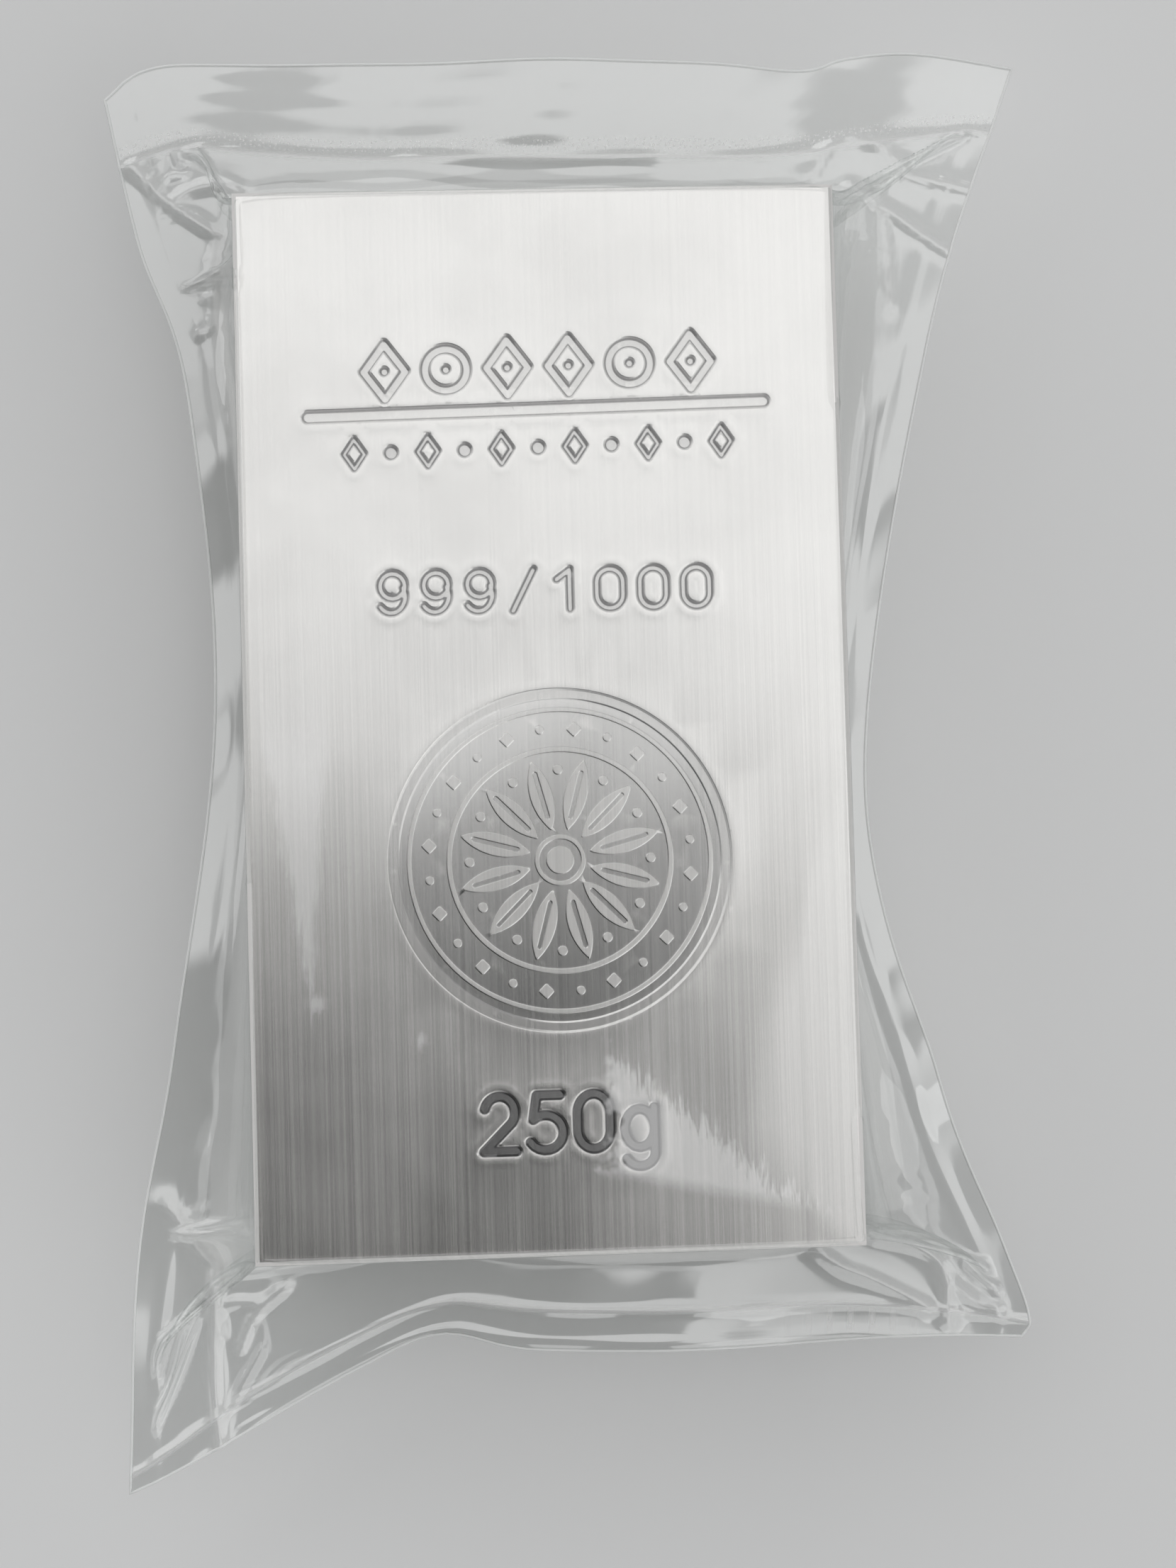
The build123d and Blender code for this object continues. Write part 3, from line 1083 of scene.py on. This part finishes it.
def film_material():
    """Clear film: mostly see-through, with a gloss that grows at a slant, milky welds and folds, and patches
    where it stands off the face a little and its gloss is turned towards the light."""
    material, m = new_material("clear_film")
    flat = m.add("ShaderNodeUVMap", uv_map="Flat").outputs[0]
    x, y, _ = m.xyz(flat)
    facing = m.add("ShaderNodeLayerWeight", {"Blend": 0.5}).outputs["Facing"]
    gloss_share = m.times(m.math("POWER", facing, 3.0), 0.5, 0.12)
    clear = m.add("ShaderNodeBsdfTransparent", {"Color": FACED_TINT})
    grey = m.add("ShaderNodeBsdfTransparent", {"Color": SLANT_TINT})
    through = m.mix_shader(m.math("POWER", facing, 2.0), clear, grey)
    gloss = m.add("ShaderNodeBsdfGlossy", {"Color": (1, 1, 1, 1), "Roughness": 0.05})
    lifted = m.add("ShaderNodeNormalMap", {"Color": (0.515, 0.555, 1, 1)}, uv_map="Flat").outputs[0]
    turned = m.add("ShaderNodeBsdfGlossy", {"Color": (1, 1, 1, 1), "Roughness": 0.08, "Normal": lifted})
    film = m.mix_shader(gloss_share, through, gloss)
    film = m.mix_shader(bright_patches(m, flat, x, y), film, turned)
    milk = m.add("ShaderNodeBsdfDiffuse", {"Color": MILK})
    crease = m.add("ShaderNodeAttribute", attribute_name="Crease").outputs["Fac"]
    milky = m.most(milky_welds(m, flat, x, y), m.times(crease, 0.38))
    m.surface(m.mix_shader(milky, film, milk))
    return material


def film_edge_material():
    """The films' cut edge: pale and nearly opaque, a painted highlight for the bright line where light
    catches the edge.
    """
    material, m = new_material("film_cut_edge")
    clear = m.add("ShaderNodeBsdfTransparent", {"Color": (0.95, 0.96, 0.955, 1)})
    shader = m.add("ShaderNodeBsdfPrincipled", {"Base Color": (0.93, 0.94, 0.935, 1), "Roughness": 0.25})
    facing = m.add("ShaderNodeLayerWeight", {"Blend": 0.4}).outputs["Facing"]
    m.surface(m.mix_shader(m.times(facing, -0.2, 0.95), clear, shader))
    return material


# Stage, light and camera

# Width and focal length in the photo's pixels, and the camera's sensor in millimetres
PHOTO_WIDTH = 1659
PHOTO_FOCAL = 3400
SENSOR_WIDTH = 36
CAMERA_PLACE = (-5.7, -13.9, 222.3)
CAMERA_AIM = (3.2, -5.7, 20.35)
CAMERA_ROLL = math.radians(1.62)

# Half the floor's side, in metres
FLOOR_HALF = 1.6


def make_camera():
    data = bpy.data.cameras.new("camera")
    data.sensor_fit = "HORIZONTAL"
    data.sensor_width = SENSOR_WIDTH
    data.lens = PHOTO_FOCAL / PHOTO_WIDTH * SENSOR_WIDTH
    data.clip_start = 0.01
    camera = link("camera", data)
    place = Vector(CAMERA_PLACE) * MM
    forward = (Vector(CAMERA_AIM) * MM - place).normalized()
    up = (Vector((0, 1, 0)) - forward * forward.y).normalized()
    up = Matrix.Rotation(CAMERA_ROLL, 3, forward) @ up
    right = forward.cross(up)
    turn = Matrix((right, up, -forward)).transposed()
    camera.matrix_world = Matrix.Translation(place) @ turn.to_4x4()
    bpy.context.scene.camera = camera


def make_floor():
    corners = [(sx * FLOOR_HALF, sy * FLOOR_HALF, 0) for sx, sy in CORNERS]
    mesh = bpy.data.meshes.new("floor")
    mesh.from_pydata(corners, [], [(0, 1, 2, 3)])
    floor = link("floor", mesh)
    material, m = new_material("floor_paint")
    m.surface(m.add("ShaderNodeBsdfPrincipled", {"Base Color": (0.84, 0.845, 0.845, 1), "Roughness": 0.85}))
    mesh.materials.append(material)


def make_lamp(name, place, size, watts):
    """A soft lamp that points at the object; place and size in metres."""
    data = bpy.data.lights.new(name, "AREA")
    data.shape = "RECTANGLE"
    data.size, data.size_y = size
    data.energy = watts
    lamp = link(name, data)
    lamp.location = place
    lamp.rotation_euler = (-Vector(place)).to_track_quat("-Z", "Y").to_euler()


# Light of the window and of the room, and the share of it that is left towards the foot
WINDOW_LIGHT = 1.38
ROOM_LIGHT = 0.6
FOOT_LIGHT = 0.45
# Where the window ends to the sides and at the head, as x and y of a direction of length 1
WINDOW_SIDE = 0.4
WINDOW_HEAD = 0.42
# Share of light left in the dark shape and near its right edge
SHADE_LIGHT = 0.015
SHADE_EDGE_LIGHT = 0.15
# Light of the even backdrop, and z of the steepest direction in which metal and film mirror it
BACKDROP_LIGHT = 0.66
BACKDROP_TOP = 0.3


def make_world():
    """A wide soft window overhead, a dimmer room round it, and a broad dark shape between them. Near the
    horizon metal and film mirror the even pale backdrop that the camera sees beyond the floor."""
    world = bpy.data.worlds.new("studio")
    bpy.context.scene.world = world
    world.use_nodes = True
    m = Nodes(world.node_tree, "ShaderNodeOutputWorld")
    sky = m.add("ShaderNodeTexCoord").outputs["Generated"]
    x, y, z = m.xyz(sky)
    ragged = m.times(m.noise(sky, 6.0, detail=3.0), 0.24, -0.12)
    beyond_x = m.math("SUBTRACT", m.math("ABSOLUTE", x), WINDOW_SIDE)
    beyond_y = m.math("SUBTRACT", y, WINDOW_HEAD)
    beyond = m.math("ADD", m.most(beyond_x, beyond_y), ragged)
    light = m.remap(beyond, -0.05, 0.07, WINDOW_LIGHT, ROOM_LIGHT)
    light = m.times(light, m.remap(y, -0.45, -0.1, FOOT_LIGHT, 1.0))
    by_y = m.remap(m.times(ragged, 0.4, y), -0.015, 0.07)
    across = m.times(ragged, 0.2, m.times(y, 0.3, x))
    shoulder = m.most(m.math("ADD", y, 0.05), 0.0)
    across = m.times(shoulder, -0.55, across)
    by_x = m.remap(across, 0.068, 0.133)
    lit = m.most(by_y, by_x)
    lit = m.most(lit, m.remap(m.math("ABSOLUTE", m.math("ADD", x, 0.25)), 0.55, 0.65))
    low = m.math("LESS_THAN", z, BACKDROP_TOP)
    lit = m.most(lit, low)
    shade = m.most(lit, m.remap(across, -0.07, 0.09, SHADE_LIGHT, SHADE_EDGE_LIGHT))
    path = m.add("ShaderNodeLightPath").outputs
    mirrored = m.most(path["Is Glossy Ray"], path["Is Transmission Ray"])
    seen = m.most(path["Is Camera Ray"], m.times(mirrored, low))
    light = m.times(m.times(light, shade), m.math("SUBTRACT", 1.0, seen))
    light = m.times(seen, BACKDROP_LIGHT, light)
    m.surface(m.add("ShaderNodeBackground", {"Strength": light}))


bpy.context.scene.view_settings.view_transform = "Standard"
make_camera()
make_floor()
make_world()
make_lamp("key", place=(-0.9, 1.3, 0.75), size=(3.2, 1.3), watts=12.0)
make_lamp("fill", place=(1.0, -1.2, 1.05), size=(3.2, 2.0), watts=15.0)

make_ingot(aluminium_material())

film = film_material()
cut = flat_cut()
fine_cut = finer(cut)
steps = ((1100, 400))
wrap_front = wrapped_film(cut, steps, seed=7)
wrap_back = wrapped_film(cut, steps, seed=8)
front = film_points(fine_cut, wrap_front, 1)
back = film_points(fine_cut, wrap_back, -1)
make_film("film_front", "front_film", fine_cut, front, 1, film)
make_film("film_back", "back_film", fine_cut, back, -1, film)
make_rim_edge(front, film_edge_material())
